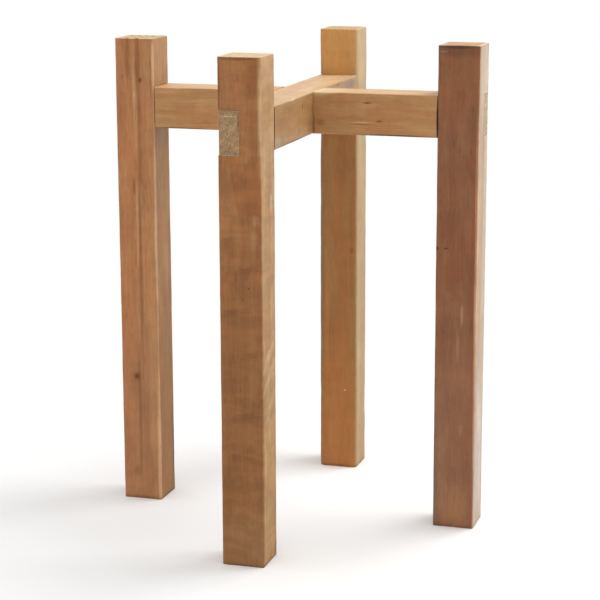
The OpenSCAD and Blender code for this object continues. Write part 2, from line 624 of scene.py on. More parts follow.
FRONT_LEG = TimberFinish(
    slot="timber_front_leg", heart=paint(155, 105, 60), late=paint(128, 81, 40),
    warm=paint(144, 87, 44), end=paint(211, 184, 140), flank=paint(184, 143, 89),
    pith=(-0.045, 0.06), seed=2.0, figure=0.042, mottle=0.13, fibre=0.14, wear=0.15,
    marks=(
        # The darker lower half, and the red-brown top with its dark upper edge
        Mark((0, -21, 110), (60, 6, 230), paint(126, 85, 46), 0.6, 0.05),
        Mark((13.9, -21, 468), (10, 4, 18), paint(120, 68, 38), 0.45, 0.45),
        Mark((-4.4, -21, 463), (6, 4, 20), paint(164, 96, 56), 0.45, 0.4),
        Mark((-20, -21, 460), (1.8, 3, 28), DARK_STREAK, 0.75, 0.3),
        Mark((0, -21, 488), (23, 3, 1.7), paint(112, 62, 22), 0.75, 0.3),
        Mark((9.8, -21, 434.4), (12, 4, 7), paint(146, 84, 46), 0.45, 0.3),
        # Clouds and the cross figure down the front
        Mark((8, -21, 350), (12, 4, 10), paint(124, 72, 40), 0.4, 0.5),
        Mark((14.8, -21, 339.4), (6, 4, 6), paint(176, 132, 92), 0.45, 0.5),
        Mark((12.7, -21, 321), (7, 4, 10), paint(168, 124, 84), 0.35, 0.5),
        Mark((-13.9, -21, 316.7), (6, 4, 7), paint(118, 74, 42), 0.45, 0.5),
        Mark((-17.3, -21, 274.6), (4, 4, 12), RED, 0.45, 0.5),
        Mark((6, -21, 291), (19, 4, 4.8), paint(122, 70, 36), 0.45, 0.7, climb=0.25),
        Mark((-10, -21, 250), (19, 4, 4.4), paint(118, 70, 34), 0.45, 0.7, climb=0.2),
        # The foot
        Mark((0, -21, 20), (50, 6, 40), paint(150, 110, 72), 0.45, 0.2),
        Mark((21, 19, 8), (5, 6, 12), paint(110, 76, 48), 0.6, 0.4),
        Mark((0, 0, -1), (50, 50, 5.5), paint(90, 58, 36), 0.6, 0.3),
        # More of the cross figure
        Mark((10.7, -21, 210), (17, 4, 4.6), paint(116, 68, 34), 0.45, 0.7, climb=0.25),
        Mark((4, -21, 150), (20, 4, 4.6), paint(108, 62, 28), 0.45, 0.7, climb=0.2),
        Mark((6, -21, 108), (18, 4, 4.2), paint(106, 62, 28), 0.45, 0.7, climb=-0.2),
        Mark((-9, -21, 108), (7, 4, 5), paint(104, 60, 28), 0.4, 0.6),
        # Two pin knots
        Mark((8, -21, 274.3), (1, 3, 1.3), KNOT, 0.8, 0.3),
        Mark((1.6, -21, 263.3), (0.9, 3, 1.3), KNOT, 0.6, 0.3),
        # The side that looks along X: its paler top, two worn patches, and light cross figure
        Mark((21, 0, 450), (4, 50, 80), paint(196, 156, 112), 0.6, 0.2),
        Mark((21, 9, 352), (3, 4, 10), paint(218, 186, 152), 0.5, 0.8),
        Mark((21, 16, 366), (3, 3, 15), paint(218, 186, 152), 0.5, 0.8),
        Mark((21, 0, 206), (3, 19, 6), paint(206, 170, 126), 0.5, 0.35, climb=0.7),
        Mark((21, 0, 186), (3, 19, 5), paint(206, 170, 126), 0.38, 0.35, climb=0.8),
        Mark((21, 3, 156), (3, 18, 7), paint(204, 168, 124), 0.35, 0.35, climb=0.9),
        # The front arris, paler with wear and a painted highlight
        Mark((20.2, -20.5, 440), (1.8, 1.8, 50), PALE, 0.45, 0.4),
    ))

BACK_LEG = TimberFinish(
    slot="timber_back_leg", heart=paint(160, 116, 64), late=paint(138, 94, 48),
    warm=paint(162, 104, 56), end=paint(186, 160, 110), flank=paint(173, 149, 106),
    pith=(0.02, 0.05), seed=3.0, mottle=0.12, fibre=0.11,
    marks=(
        # A red knot, and the bright top on both sides
        Mark((15.2, -21, 248.7), (2.2, 4, 3.6), paint(120, 56, 30), 0.8, 0.3),
        Mark((0, -21, 480), (50, 6, 60), paint(207, 154, 89), 0.8, 0.1),
        Mark((21, 0, 480), (6, 50, 60), paint(194, 164, 126), 0.6, 0.2),
        # The olive left edge, the warmer foot and long streaks
        Mark((-18.5, -19, 220), (3.4, 6, 240), paint(126, 108, 72), 0.65, 0.1),
        Mark((3, -21, 40), (30, 6, 130), paint(180, 114, 60), 0.55, 0.1),
        Mark((14.8, -21, 255), (3, 4, 80), paint(164, 92, 56), 0.5, 0.25),
        Mark((-12.8, -21, 145), (2.6, 4, 90), paint(184, 120, 58), 0.45, 0.2),
        # A pale speck, a pink patch on the side, and a darker band along the foot's bottom edge
        Mark((7.8, -21, 89.5), (1.2, 4, 1.5), PALE, 0.8, 0.3),
        Mark((21, 1, 324), (3, 8, 18), paint(196, 142, 108), 0.4, 0.4),
        Mark((0, 0, -1), (50, 50, 5), paint(100, 60, 34), 0.6, 0.3),
    ))

RIGHT_LEG = TimberFinish(
    slot="timber_right_leg", heart=paint(133, 88, 56), late=paint(114, 71, 42),
    warm=paint(130, 76, 46), end=paint(188, 150, 117), flank=paint(176, 150, 115),
    pith=(-0.04, 0.05), seed=4.0,
    marks=(
        # The top: warmer, then darker up to its edge, with a scuff
        Mark((0, -21, 460), (30, 6, 40), paint(138, 86, 46), 0.4, 0.1),
        Mark((0, -21, 485), (30, 6, 7), paint(102, 60, 38), 0.55, 0.1),
        Mark((-2, -21, 488.5), (26, 4, 2), paint(80, 46, 16), 0.85, 0.3),
        Mark((-16, -21, 483.8), (5, 4, 1.1), paint(150, 118, 80), 0.6, 0.3),
        # Nicks in the front and in its left arris
        Mark((-10.6, -21, 289.4), (3, 4, 1.1), KNOT, 0.9, 0.2),
        Mark((-20.5, -20.5, 289.1), (3, 3, 2.2), paint(62, 36, 24), 0.95, 0.1),
        Mark((-20.6, -20.6, 154), (2.4, 2.4, 2), paint(70, 42, 28), 0.9, 0.1),
        # Pale scratches
        Mark((6.2, -21, 223), (1.8, 5, 13), paint(196, 156, 126), 0.36, 0.4),
        Mark((2.2, -21, 190), (1.6, 5, 22), paint(190, 150, 120), 0.28, 0.4),
        Mark((7, -21, 104), (3, 5, 7), paint(190, 152, 124), 0.32, 0.5),
        # The weathered lower half and the foot
        Mark((-15, -21, 60), (7, 5, 80), paint(134, 106, 82), 0.5, 0.3),
        Mark((-1, -21, 90), (45, 6, 140), paint(142, 99, 71), 0.55, 0.2),
        Mark((0, 0, -1), (50, 50, 6), paint(84, 56, 38), 0.65, 0.4),
        Mark((-1, -21, 22), (15, 5, 32), paint(156, 112, 74), 0.65, 0.4),
        Mark((-19.5, -21, 30), (3.5, 5, 50), paint(112, 98, 78), 0.55, 0.3),
        Mark((20, -21, 30), (3, 4, 30), paint(136, 70, 50), 0.55, 0.3),
        # The side that looks along X: a tan edge, an arris rubbed paler with a painted highlight, and pale
        # weathered bands that also carry painted sheen
        Mark((21, -13, 300), (3, 8, 300), paint(184, 146, 108), 0.5, 0.25),
        Mark((20.7, -20.5, 260), (2.2, 2.6, 260), paint(222, 176, 138), 0.65, 0.6),
        Mark((21, 14, 290), (3, 12, 300), paint(194, 172, 144), 0.62, 0.45),
        Mark((21, 6, 455), (4, 22, 50), paint(206, 188, 168), 0.5, 0.4),
        Mark((21, 0, 60), (3, 24, 130), paint(204, 188, 176), 0.7, 0.35),
        # Grey specks near its far edge
        Mark((21, 19, 458), (3, 1.8, 5), GREY, 0.6, 0.5),
        Mark((21, 16, 445), (3, 1.6, 4), GREY, 0.6, 0.5),
        Mark((21, 10, 388), (3, 1.6, 10), GREY, 0.45, 0.5),
        Mark((21, 12, 330), (3, 1.4, 9), GREY, 0.4, 0.5),
        Mark((21, 20, 486), (4, 3, 3), GREY, 0.7, 0.4),
    ))

LOWER_RAIL = TimberFinish(
    slot="timber_lower_rail", heart=paint(178, 133, 85), late=paint(154, 108, 62),
    warm=paint(172, 119, 73), end=paint(184, 166, 134), flank=paint(204, 168, 122),
    pith=(0.05, -0.045), seed=5.0, speckle=1.0, rim=0.0, mottle=0.12, fibre=0.14,
    marks=(
        # A knot, short streaks and the two lines of a drying crack
        Mark((76.7, -21, 431.5), (5.6, 4, 1.1), KNOT, 0.8, 0.3),
        Mark((89.1, -21, 413.6), (4, 4, 1.2), DARK_STREAK, 0.8, 0.3),
        Mark((71.7, -21, 412), (13, 4, 0.8), PALE, 0.55, 0.3),
        Mark((70, -21, 410), (15, 4, 0.7), DARK_STREAK, 0.5, 0.3),
        Mark((28.4, -21, 411), (6, 4, 4), paint(132, 84, 46), 0.45, 0.4),
        # Painted shade: dark lines in the gaps where it meets the legs and the other rail, and along its
        # lower edge
        Mark((147.8, -21, 417), (1.2, 4, 22), SEAM_SHADE, 0.9, 0.1),
        Mark((-147.8, -21, 417), (0.9, 4, 22), SEAM_SHADE, 0.7, 0.1),
        Mark((21.5, -21, 408), (1.8, 4, 14), paint(118, 74, 40), 0.6, 0.1),
        Mark((107, -20, 399.6), (45, 3, 1.5), UNDER_EDGE_SHADE, 0.85, 0.1),
        # The end of its right tongue
        Mark((189.7, 2, 420), (3, 1.4, 18), paint(120, 108, 92), 0.7, 0.6),
        Mark((189.7, 12, 410), (3, 3, 6), GREY, 0.5, 0.6),
        # Painted shade along its lower edge on the left, and a painted highlight on its top beside the
        # crossing
        Mark((-120, -20, 399.6), (32, 3, 1.3), UNDER_EDGE_SHADE, 0.7, 0.1),
        Mark((25, -5, 441), (30, 25, 4), paint(234, 210, 160), 0.5, 0.3),
    ))

UPPER_RAIL = TimberFinish(
    slot="timber_upper_rail", heart=paint(203, 170, 126), late=paint(180, 143, 98),
    warm=paint(202, 156, 114), end=paint(150, 122, 88), flank=paint(174, 137, 90),
    pith=(-0.05, -0.04), seed=6.0, speckle=1.0, rim=0.0, mottle=0.14, fibre=0.14,
    marks=(
        # A knot and short streaks on its right side, between the front leg and the crossing
        Mark((21, -57, 430.3), (4, 1.4, 3.6), KNOT, 0.75, 0.3),
        Mark((21, -69.1, 407.8), (4, 1.4, 4), DARK_STREAK, 0.65, 0.4),
        Mark((21, -40, 412), (4, 1.1, 5), DARK_STREAK, 0.6, 0.4),
        Mark((21, -31.2, 413), (4, 1.1, 6), DARK_STREAK, 0.6, 0.4),
        # Weathered clouds, painted shade along its lower edge, and a painted highlight along its upper edge
        Mark((21, -138, 404), (4, 12, 8), paint(176, 158, 128), 0.6, 0.4),
        Mark((21, -115, 406), (4, 12, 8), paint(150, 128, 96), 0.45, 0.5),
        Mark((21, -90, 420), (4, 16, 7), paint(186, 148, 106), 0.35, 0.5),
        Mark((21, -105, 434), (4, 20, 6), paint(160, 122, 76), 0.4, 0.5),
        Mark((20, -85, 399.8), (3, 50, 1.5), paint(70, 60, 48), 0.75, 0.3),
        Mark((19.5, -90, 440.2), (2, 12, 1.6), paint(222, 196, 140), 0.6, 0.5),
        # Painted shade: the dark line in the gap at the front leg
        Mark((21, -147.5, 420), (4, 1.6, 26), SEAM_SHADE, 0.8, 0.1),
        # The end of its front tongue: painted shade along one edge, a pale saw line and a stained foot
        Mark((-1, -190, 431), (0.9, 3, 12), SEAM_SHADE, 0.75, 0.3),
        Mark((-10.5, -190, 435), (10, 3, 0.7), paint(196, 176, 146), 0.6, 0.3),
        Mark((-10, -190, 401), (10, 3, 3), paint(106, 84, 76), 0.5, 0.6),
        # Behind the crossing: painted shade on the side where the lower rail shadows it, with a dark streak
        Mark((21, 85, 432), (4, 70, 12), paint(150, 108, 66), 0.55, 0.1),
        Mark((21, 71.6, 438.3), (4, 6, 1.6), DARK_STREAK, 0.7, 0.4),
        Mark((21, 122, 434), (4, 20, 7), paint(116, 100, 84), 0.5, 0.7),
    ))


# ---------------------------------------------------------------------------------------------
# Timber's look
# ---------------------------------------------------------------------------------------------

class WoodGroup:
    """The shader group that turns a place in a stick into its colour, roughness and relief.

    The grain runs along Z. The rings are rounds about a pith that lies outside the stick. The
    colour that comes out is unlit: marks are laid on it first, and the light of the fibres after.
    Two or four numbers together are a step's: where it starts and ends, and what it gives there.
    """

    WANDER = Pattern((14.0, 14.0, 11.0), roughness=0.55, seed=5.0)
    WANDER_REACH = (14 * MM, 14 * MM, 0.0)

    LEAN = Pattern((0.0, 0.0, 2.6), detail=1.0)
    LEAN_REACH = 35 * MM
    WAVER = Pattern((55.0, 55.0, 6.0))
    WAVER_REACH = 5.5 * MM
    LATE_WOOD = (0.25, 0.9)
    RING_END = (0.93, 1.0)
    FAINTEST_YEAR = 0.35

    BANDS = Pattern((85.0, 85.0, 2.2), roughness=0.55, seed=11.0, shows=(0.44, 0.62))
    PATCHES = Pattern((62.0, 62.0, 17.0), roughness=0.6, seed=17.0, shows=(0.47, 0.60))
    STREAKS = Pattern((260.0, 260.0, 7.0), detail=4.0, roughness=0.62, seed=23.0, shows=(0.56, 0.78))
    STREAK_TINT = (0.62, 0.55, 0.5, 1.0)

    MOTTLE = Pattern((48.0, 48.0, 19.0), roughness=0.6, seed=29.0)
    FIBRES = Pattern((750.0, 750.0, 17.0), roughness=0.68, seed=31.0)
    PORES = Pattern((1150.0, 1150.0, 95.0), detail=1.5, seed=37.0, shows=(0.60, 0.72))
    RIPPLE = Pattern(seed=43.0, shows=(0.38, 0.62))
    RIPPLE_PITCH = (34.0, 34.0, 105.0)
    RIPPLE_BEND = Pattern(scale=30.0, detail=2.0)
    RIPPLE_BEND_REACH = 2.2
    LIGHT_SWING = 4.0
    PORE_SHADE = 1.4
    DARKEST = 0.1
    LOOKS_ASIDE = (0.55, 0.85)

    DOTS = Pattern((1000.0, 1000.0, 60.0), roughness=0.8, seed=51.0)
    SAW_SLANT = 0.35
    SAW_STROKES = Pattern((900.0, 30.0, 30.0), detail=2.0, roughness=0.6, seed=57.0)
    BLOTCHES = Pattern(scale=260.0, seed=61.0)
    DOTS_LIGHT = 2.3
    STROKES_LIGHT = 0.8
    END_MIDDLE = -2.05
    END_RINGS = 0.45
    IS_END = (0.55, 0.9)

    # Wear and painted highlight: the arrises turn paler where handling rubs them and where they catch the
    # light
    RUB = Pattern((180.0, 180.0, 60.0), detail=4.0, roughness=0.65, seed=71.0)
    RUB_WIDTH = (0.42, 0.72, 0.2 * MM, 3.4 * MM)
    RUB_AND_HIGHLIGHT_TONE = (0.62, 0.45, 0.29, 1.0)
    RUB_SHARE = 0.65
    # Painted highlight: a pale rim round the edges of each upward end, where light catches them
    RIM_HIGHLIGHT_INNER = 0.8 * MM
    RIM_HIGHLIGHT_WIDTH = (0.35, 0.70, 2.4 * MM, 6.0 * MM)
    RIM_HIGHLIGHT_TONE = (0.76, 0.62, 0.44, 1.0)
    LOOKS_UP = (0.3, 0.6)

    FIBRE_ROUGHNESS = 0.18
    END_ROUGHNESS = 0.22
    BAND_ROUGHNESS = 0.12
    WORN_POLISH = 0.12
    FIBRE_RELIEF = 0.30
    RING_RELIEF = 0.10
    PORE_RELIEF = 0.28
    DOTS_RELIEF = 0.7
    STROKES_RELIEF = 0.5

    def __init__(self) -> None:
        """Builds the group: the patterns in the timber first, and then the look that they give."""
        self.tree = bpy.data.node_groups.new("oiled_hardwood", "ShaderNodeTree")
        source, sink = declare(self.tree, {
            "Vector": "Place, Facing, Pith",
            "Color": "Heart, Late, Warm, End, Flank",
            "Float": "Ring Spacing, Ring Contrast, Warm Share, Streak, Figure, Mottle, Fibre, Speckle, "
                     "Rim, Wear, Roughness, Half Width, Seed",
        }, {"Color": "Colour", "Float": "Roughness, Relief, Light"})
        self.desk = desk = NodeDesk(self.tree)
        self.given = source.outputs
        self.place = self._wandering()
        self.late = self._late_wood()
        self.bands = self._noise(self.BANDS)
        self.fibres = self._noise(self.FIBRES)
        self.pores = desk.step(self._noise(self.PORES), *self.PORES.shows)
        self.dots = self._noise(self.DOTS)
        self.strokes = self._saw_strokes()
        self.facing = desk.split(self.given["Facing"])
        self.is_end = desk.step(desk.math("ABSOLUTE", self.facing[2]), *self.IS_END)
        self.is_side = desk.rest_of(self.is_end)

        side_light, end_light = self._side_light(), self._end_light()
        colour = desk.blend(self.is_end, self._side(side_light), self._end(end_light))
        colour, worn = self._rubbed_and_highlit(colour)
        end_share = desk.times(desk.minus(end_light, side_light), self.is_end)
        light = desk.math("MAXIMUM", desk.plus(side_light, end_share), self.DARKEST)
        for name, value in {
            "Colour": desk.scaled(colour, desk.over(1.0, light)), "Roughness": self._roughness(worn),
            "Relief": self._relief(), "Light": light,
        }.items():
            desk.feed(sink.inputs[name], value)

    def _noise(self, pattern: Pattern) -> Socket:
        """Reads a pattern at the wandering place, with the stick's own number."""
        return self.desk.noise(self.place, pattern, self.given["Seed"])

    def _wandering(self) -> Socket:
        """Bends the place a little, since grain is never dead straight.

        Returns:
            The place that every pattern in the timber is read at.
        """
        sway = self.desk.sway(self.given["Place"], self.WANDER, self.given["Seed"])
        return self.desk.vector("ADD", self.given["Place"],
                                self.desk.vector("MULTIPLY", sway, self.WANDER_REACH))

    def _late_wood(self) -> Socket:
        """Draws the growth rings, which drift as the trunk leans and waver along each ring.

        Returns:
            How much of the wood is late wood: 1 just inside each ring's end.
        """
        desk, given = self.desk, self.given
        lean = desk.sway(given["Place"], self.LEAN, given["Seed"])
        leaned = desk.vector("ADD", self.place, desk.scaled(lean, self.LEAN_REACH))
        from_pith = desk.vector("MULTIPLY", desk.vector("SUBTRACT", leaned, given["Pith"]), ACROSS)
        radius = desk.plus(desk.length(from_pith), desk.times(self._noise(self.WAVER), self.WAVER_REACH))
        count = desk.over(radius, given["Ring Spacing"])
        phase = desk.math("FRACT", count)
        late = desk.times(desk.step(phase, *self.LATE_WOOD), desk.step(phase, *self.RING_END, 1.0, 0.0))
        number = desk.plus(desk.math("FLOOR", count), given["Seed"])
        year = desk.add("ShaderNodeTexWhiteNoise", {"W": number}, noise_dimensions="1D").outputs["Value"]
        return desk.times(late, desk.step(year, 0.0, 1.0, self.FAINTEST_YEAR, 1.0))

    def _saw_strokes(self) -> Socket:
        """Draws the saw's strokes, which lie aslant over the sawn ends.

        Returns:
            The strokes, from 0 to 1.
        """
        x, y, z = self.desk.split(self.given["Place"])
        slanted = self.desk.join(self.desk.plus(x, self.desk.times(y, self.SAW_SLANT)), y, z)
        return self.desk.noise(slanted, self.SAW_STROKES, self.given["Seed"])

    def _side_light(self) -> Socket:
        """How light the sides are, from the fibres, the mottling, the cross figure and the pores.

        Returns:
            The light, about 1.
        """
        desk, given = self.desk, self.given
        bend = desk.noise(self.place, self.RIPPLE_BEND, given["Seed"], colour=True)
        bent = desk.vector("ADD", desk.vector("MULTIPLY", self.place, self.RIPPLE_PITCH),
                           desk.scaled(bend, self.RIPPLE_BEND_REACH))
        ripple = desk.step(desk.noise(bent, self.RIPPLE, given["Seed"]), *self.RIPPLE.shows)
        light = 1.0
        for pattern, share in ((self.fibres, "Fibre"), (self._noise(self.MOTTLE), "Mottle"),
                               (ripple, "Figure")):
            light = desk.plus(desk.times(desk.swing(pattern, given[share]), self.LIGHT_SWING), light)
        return desk.minus(light, desk.times(self.pores, given["Fibre"], self.PORE_SHADE))

    def _side(self, light: Socket) -> Socket:
        """Colours the sides: warmer bands and patches, rings, and dark mineral streaks.

        Args:
            light: How light the sides are.

        Returns:
            The sides' colour.
        """
        desk, given = self.desk, self.given
        warm = desk.math("MAXIMUM", desk.step(self.bands, *self.BANDS.shows),
                         desk.step(self._noise(self.PATCHES), *self.PATCHES.shows))
        streaks = desk.step(self._noise(self.STREAKS), *self.STREAKS.shows)
        colour = desk.blend(desk.times(warm, given["Warm Share"]), given["Heart"], given["Warm"])
        colour = desk.blend(desk.times(self.late, given["Ring Contrast"]), colour, given["Late"])
        dark_line = desk.tinted(given["Late"], self.STREAK_TINT)
        colour = desk.blend(desk.times(streaks, given["Streak"]), colour, dark_line)
        # Partly painted light: the side that looks along X is tinted paler or darker as light falls on it,
        # and whiter where it catches sheen
        aside = desk.step(self.facing[0], *self.LOOKS_ASIDE)
        return desk.tinted(desk.lit(colour, light), desk.blend(aside, WHITE, given["Flank"]))

    def _end_light(self) -> Socket:
        """How light the sawn ends are, from the pores, the saw's strokes and blotches.

        Returns:
            The light, about 1.
        """
        desk = self.desk
        light = desk.plus(desk.times(self.dots, self.DOTS_LIGHT),
                          desk.times(self.strokes, self.STROKES_LIGHT),
                          self._noise(self.BLOTCHES), self.END_MIDDLE)
        return desk.plus(desk.times(light, self.given["Speckle"]), 1.0)

    def _end(self, light: Socket) -> Socket:
        """Colours the sawn ends, where the rings show as rounds, in the light that they have."""
        rings = self.desk.times(self.late, self.END_RINGS)
        return self.desk.lit(self.desk.blend(rings, self.given["End"], self.given["Late"]), light)

    def _rubbed_and_highlit(self, colour: Socket) -> tuple[Socket, Socket]:
        """Makes the arrises paler, partly as wear and partly as painted highlight, and paints a highlight
        round the rims of the upper ends.

        Args:
            colour: The colour of the stick before it is handled.

        Returns:
            The colour with its worn arrises and painted highlights, and how worn the arrises are.
        """
        desk, given = self.desk, self.given
        x, y, _ = desk.split(given["Place"])
        from_x, from_y = (desk.minus(given["Half Width"], desk.math("ABSOLUTE", part)) for part in (x, y))
        rub = self._noise(self.RUB)
        width = desk.step(rub, *self.RUB_WIDTH)
        worn = desk.rest_of(desk.step(desk.math("MAXIMUM", from_x, from_y), 0.0, width))
        worn = desk.times(worn, given["Wear"], self.is_side)
        # Partly painted highlight: the worn arrises turn paler, standing in for the light that rounded
        # arrises catch
        colour = desk.blend(worn, colour, desk.blend(self.RUB_SHARE, colour, self.RUB_AND_HIGHLIGHT_TONE))
        # Painted highlight round the edges of the upward ends
        width = desk.step(rub, *self.RIM_HIGHLIGHT_WIDTH)
        rim = desk.rest_of(desk.step(desk.math("MINIMUM", from_x, from_y), self.RIM_HIGHLIGHT_INNER, width))
        rim = desk.times(rim, given["Rim"], desk.step(self.facing[2], *self.LOOKS_UP))
        return desk.blend(rim, colour, self.RIM_HIGHLIGHT_TONE), worn

    def _roughness(self, worn: Socket) -> Socket:
        """How rough the timber is: rougher on its ends, smoother where it is worn.

        Args:
            worn: How worn the arrises are.

        Returns:
            The roughness, from 0 to 1.
        """
        desk = self.desk
        rough = desk.plus(self.given["Roughness"], desk.swing(self.fibres, self.FIBRE_ROUGHNESS),
                          desk.times(self.is_end, self.END_ROUGHNESS),
                          desk.swing(self.bands, self.BAND_ROUGHNESS))
        return desk.math("SUBTRACT", rough, desk.times(worn, self.WORN_POLISH), clamp=True)

    def _relief(self) -> Socket:
        """How the surface rises and falls: fibres, rings and pores, or the saw's marks on an end.

        Returns:
            The height, for a bump.
        """
        desk = self.desk
        side = desk.plus(desk.times(self.fibres, self.FIBRE_RELIEF), desk.times(self.late, self.RING_RELIEF))
        side = desk.minus(side, desk.times(self.pores, self.PORE_RELIEF))
        end = desk.plus(desk.times(self.dots, self.DOTS_RELIEF),
                        desk.times(self.strokes, self.STROKES_RELIEF))
        return desk.plus(desk.times(side, self.is_side), desk.times(end, self.is_end))


class MarkGroup:
    """The shader group that lays one uneven mark over a colour."""

    EDGE = Pattern(scale=1.7)
    EDGE_REACH = 3.0
    FULL_TO_NONE = (0.35, 1.25)

    def __init__(self) -> None:
        """Builds the group. Each mark's own place picks how its edge is ragged."""
        self.tree = bpy.data.node_groups.new("timber_mark", "ShaderNodeTree")
        source, sink = declare(self.tree, {
            "Color": "Colour, Tone", "Vector": "Place, Centre, Reach", "Float": "Strength, Ragged, Climb",
        }, {"Color": "Colour"})
        desk = NodeDesk(self.tree)
        given = source.outputs
        away = desk.vector("SUBTRACT", given["Place"], given["Centre"])
        away_x, away_y, _ = desk.split(away)
        rise = desk.join(z=desk.times(desk.plus(away_x, away_y), given["Climb"]))
        away = desk.vector("DIVIDE", desk.vector("SUBTRACT", away, rise), given["Reach"])
        number = desk.over(desk.length(given["Centre"]), self.EDGE.scale)
        ragged = desk.scaled(desk.sway(away, self.EDGE, number), desk.times(given["Ragged"], self.EDGE_REACH))
        distance = desk.length(desk.vector("ADD", away, ragged))
        cover = desk.rest_of(desk.step(distance, *self.FULL_TO_NONE))
        share = desk.times(cover, given["Strength"])
        desk.feed(sink.inputs["Colour"], desk.blend(share, given["Colour"], given["Tone"]))


class HardwoodShader:
    """Dresses sticks of timber in the wood that they all share and the marks of their own."""

    BUMP = 0.55
    BUMP_DEPTH = 0.35 * MM
    OIL_IOR = 1.46
    OIL_SHINE = 0.3

    def __init__(self) -> None:
        """Builds the two groups once."""
        self.wood = WoodGroup()
        self.mark = MarkGroup()

    def dress(self, finish: TimberFinish, grain: Grain, centre: Vector, datum: Vector,
              half_width: float) -> bpy.types.Material:
        """Makes the material of one stick.

        Args:
            finish: The stick's finish.
            grain: The direction of its grain.
            centre: The middle of the stick.
            datum: Where its marks are measured from.
            half_width: Half of the stick's width.

        Returns:
            The material.
        """
        material = bpy.data.materials.new(finish.slot)
        desk = NodeDesk.cleared(material)
        where = desk.add("ShaderNodeTexCoord").outputs
        centred = desk.vector("SUBTRACT", where["Object"], tuple(centre))
        upright, facing = (
            desk.add("ShaderNodeMapping", {"Vector": vector, "Rotation": grain.value}).outputs[0]
            for vector in (centred, where["Normal"]))
        wood = desk.add("ShaderNodeGroup", node_tree=self.wood.tree)
        values = {field.name.replace("_", " ").title(): getattr(finish, field.name)
                  for field in fields(finish)}
        # The colour of the side that looks along X, partly painted light, goes in as a tint over the colour
        # that all the sides share
        flank = (*(side / front for side, front in zip(finish.flank[:3], finish.heart[:3])), 1.0)
        values |= {"Place": upright, "Facing": facing, "Pith": (*finish.pith, 0.0), "Flank": flank,
                   "Half Width": half_width}
        for socket in wood.inputs:
            desk.feed(socket, values[socket.name])
        colour = wood.outputs["Colour"]
        for mark in finish.marks:
            blot = desk.add("ShaderNodeGroup", node_tree=self.mark.tree)
            for name, value in {
                "Colour": colour, "Place": where["Object"], "Centre": datum + Vector(mark.place) * MM,
                "Reach": Vector(mark.reach) * MM, "Tone": mark.tone, "Strength": mark.strength,
                "Ragged": mark.ragged, "Climb": mark.climb,
            }.items():
                desk.feed(blot.inputs[name], value)
            colour = blot.outputs["Colour"]
        bump = desk.add("ShaderNodeBump", {
            "Height": wood.outputs["Relief"], "Strength": self.BUMP, "Distance": self.BUMP_DEPTH,
        })
        desk.show("ShaderNodeOutputMaterial", desk.add("ShaderNodeBsdfPrincipled", {
            "Base Color": desk.scaled(colour, wood.outputs["Light"]),
            "Roughness": wood.outputs["Roughness"], "Normal": bump.outputs[0],
            "IOR": self.OIL_IOR, "Specular IOR Level": self.OIL_SHINE,
        }))
        return material


# ---------------------------------------------------------------------------------------------
# Timber
# ---------------------------------------------------------------------------------------------

